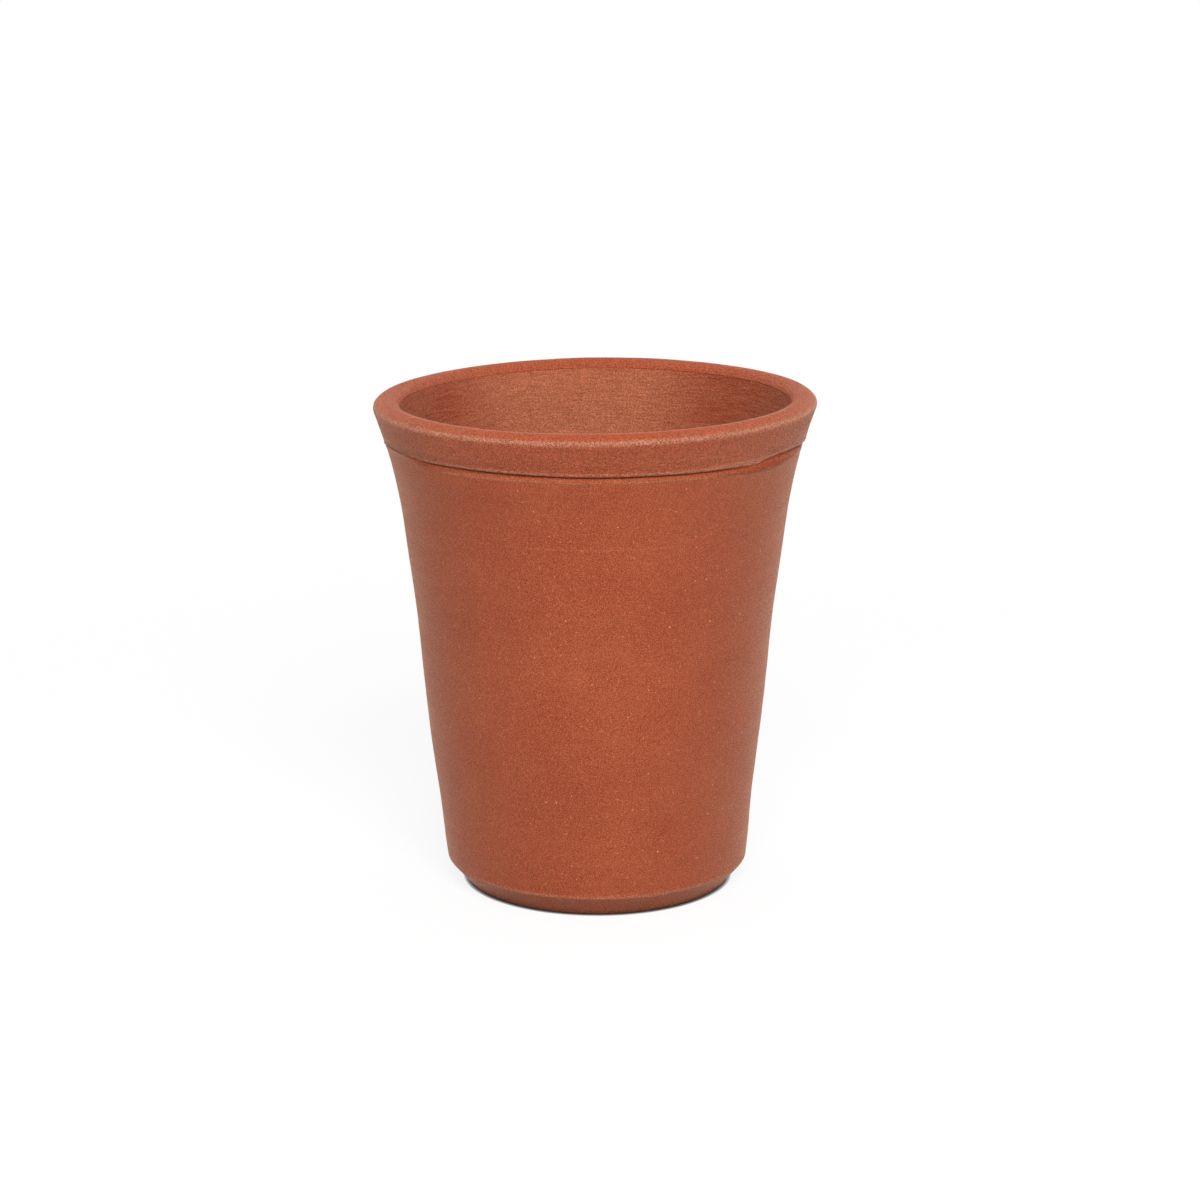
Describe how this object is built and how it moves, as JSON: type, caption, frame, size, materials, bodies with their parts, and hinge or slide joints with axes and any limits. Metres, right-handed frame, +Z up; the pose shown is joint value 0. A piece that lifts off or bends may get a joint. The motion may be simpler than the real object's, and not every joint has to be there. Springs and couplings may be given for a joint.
{
  "type": "clay tea cup",
  "caption": "Handleless unglazed terracotta tea cup: flared thrown wall on a bevelled foot, with a rolled lip over a banded rim set off by an incised groove.",
  "frame": {"origin": "centre of the flat face the cup stands on", "axes": "+Z up the cup's axis of revolution towards the mouth; +X and +Y lie in the resting face and are alike on a round cup"},
  "size_m": [0.08, 0.08, 0.0906],
  "materials": {
    "terracotta": "matt unglazed fired earthenware, fine grain, burnished by the potter's rib outside"
  },
  "bodies": {
    "root": {"foot": "terracotta", "wall": "terracotta", "rim_band": "terracotta"}
  },
  "joints": []
}
